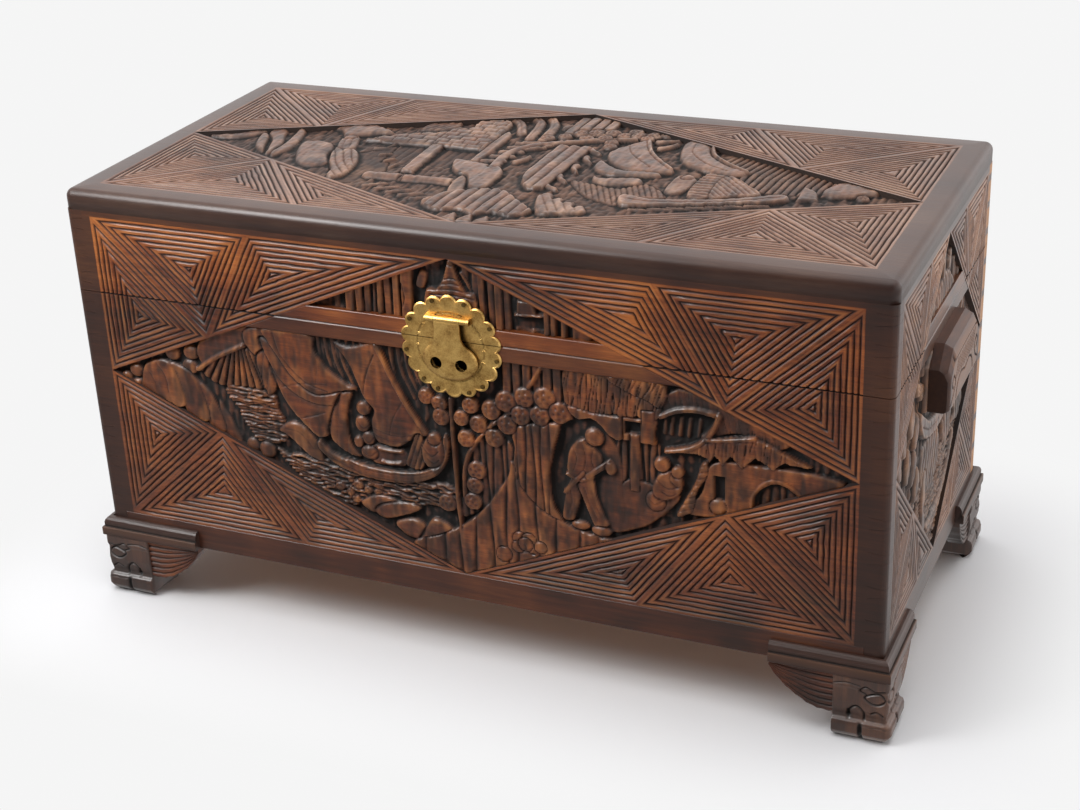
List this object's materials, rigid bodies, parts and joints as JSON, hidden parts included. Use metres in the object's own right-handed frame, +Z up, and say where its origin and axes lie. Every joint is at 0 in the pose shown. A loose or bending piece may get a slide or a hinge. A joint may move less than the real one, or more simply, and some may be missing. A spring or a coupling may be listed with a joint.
{
  "type": "carved wooden chest",
  "caption": "Carved camphor-wood storage chest on paw feet, with a hinged plank lid, end handles, a scalloped brass lock plate, a swinging hasp and a folding lid stay.",
  "frame": {"origin": "on the floor under the middle of the chest", "axes": "+Z up, +X along the front, the front faces -Y"},
  "size_m": [0.944, 0.454, 0.49],
  "materials": {
    "carved_camphor": "hand carved, stained dark and waxed",
    "plain_camphor": "sawn and planed, unstained",
    "aged_brass": "cast and sheet brass, aged and hand rubbed",
    "steel_screw": "plain steel, darkened"
  },
  "bodies": {
    "chest": {"body_front_board": "carved_camphor", "body_back_board": "carved_camphor", "body_right_end": "carved_camphor", "body_left_end": "carved_camphor", "front_right_foot_paw": "carved_camphor", "front_left_foot_paw": "carved_camphor", "rear_right_foot_paw": "carved_camphor", "rear_left_foot_paw": "carved_camphor", "front_right_foot_long_wing": "carved_camphor", "front_left_foot_long_wing": "carved_camphor", "rear_right_foot_long_wing": "carved_camphor", "rear_left_foot_long_wing": "carved_camphor", "front_right_foot_end_wing": "carved_camphor", "front_left_foot_end_wing": "carved_camphor", "rear_right_foot_end_wing": "carved_camphor", "rear_left_foot_end_wing": "carved_camphor", "front_right_foot_long_moulding": "carved_camphor", "front_left_foot_long_moulding": "carved_camphor", "rear_right_foot_long_moulding": "carved_camphor", "rear_left_foot_long_moulding": "carved_camphor", "front_right_foot_end_moulding": "carved_camphor", "front_left_foot_end_moulding": "carved_camphor", "rear_right_foot_end_moulding": "carved_camphor", "rear_left_foot_end_moulding": "carved_camphor", "right_handle": "carved_camphor", "left_handle": "carved_camphor", "bottom_plank_front": "plain_camphor", "bottom_plank_middle": "plain_camphor", "bottom_plank_rear": "plain_camphor", "lock_plate_lower": "aged_brass", "lower_plate_nails": "aged_brass", "right_hinge_body_leaf": "aged_brass", "left_hinge_body_leaf": "aged_brass", "right_hinge_pin": "aged_brass", "left_hinge_pin": "aged_brass", "hinge_body_screws": "aged_brass", "stay_body_bracket": "aged_brass", "stay_body_screws": "aged_brass", "foot_screws": "steel_screw", "handle_screws": "steel_screw"},
    "lid": {"lid_front_board": "carved_camphor", "lid_back_board": "carved_camphor", "lid_right_end": "carved_camphor", "lid_left_end": "carved_camphor", "lid_top_front_plank": "carved_camphor", "lid_top_rear_plank": "carved_camphor", "lid_top_dowels": "plain_camphor", "lock_plate_upper": "aged_brass", "upper_plate_nails": "aged_brass", "hasp_pin": "aged_brass", "right_hinge_lid_leaf": "aged_brass", "left_hinge_lid_leaf": "aged_brass", "hinge_lid_screws": "aged_brass", "stay_lid_bracket": "aged_brass", "stay_lid_screws": "aged_brass"},
    "hasp": {"hasp": "aged_brass"},
    "stay_lower": {"stay_lower_arm": "aged_brass"},
    "stay_upper": {"stay_upper_arm": "aged_brass"}
  },
  "joints": [
    {"name": "lid_hinge", "type": "hinge", "parent": "chest", "child": "lid", "pos_m": [0, 0.2194, 0.3754], "axis": [-1, 0, 0], "range_deg": [0, 100]},
    {"name": "hasp_hinge", "type": "hinge", "parent": "lid", "child": "hasp", "pos_m": [0, -0.2206, 0.399], "axis": [-1, 0, 0], "range_deg": [0, 150]},
    {"name": "stay_lower_pivot", "type": "hinge", "parent": "chest", "child": "stay_lower", "pos_m": [0.426, 0.04, 0.315], "axis": [-1, 0, 0], "range_deg": [0, 100.6]},
    {"name": "stay_upper_pivot", "type": "hinge", "parent": "lid", "child": "stay_upper", "pos_m": [0.423, 0.08, 0.42], "axis": [-1, 0, 0], "range_deg": [-137.3, 0]}
  ],
  "couplings": [
    {"joint": "stay_lower_pivot", "follows": "lid_hinge", "ratio": 1.0054},
    {"joint": "stay_upper_pivot", "follows": "lid_hinge", "ratio": -1.3725}
  ]
}
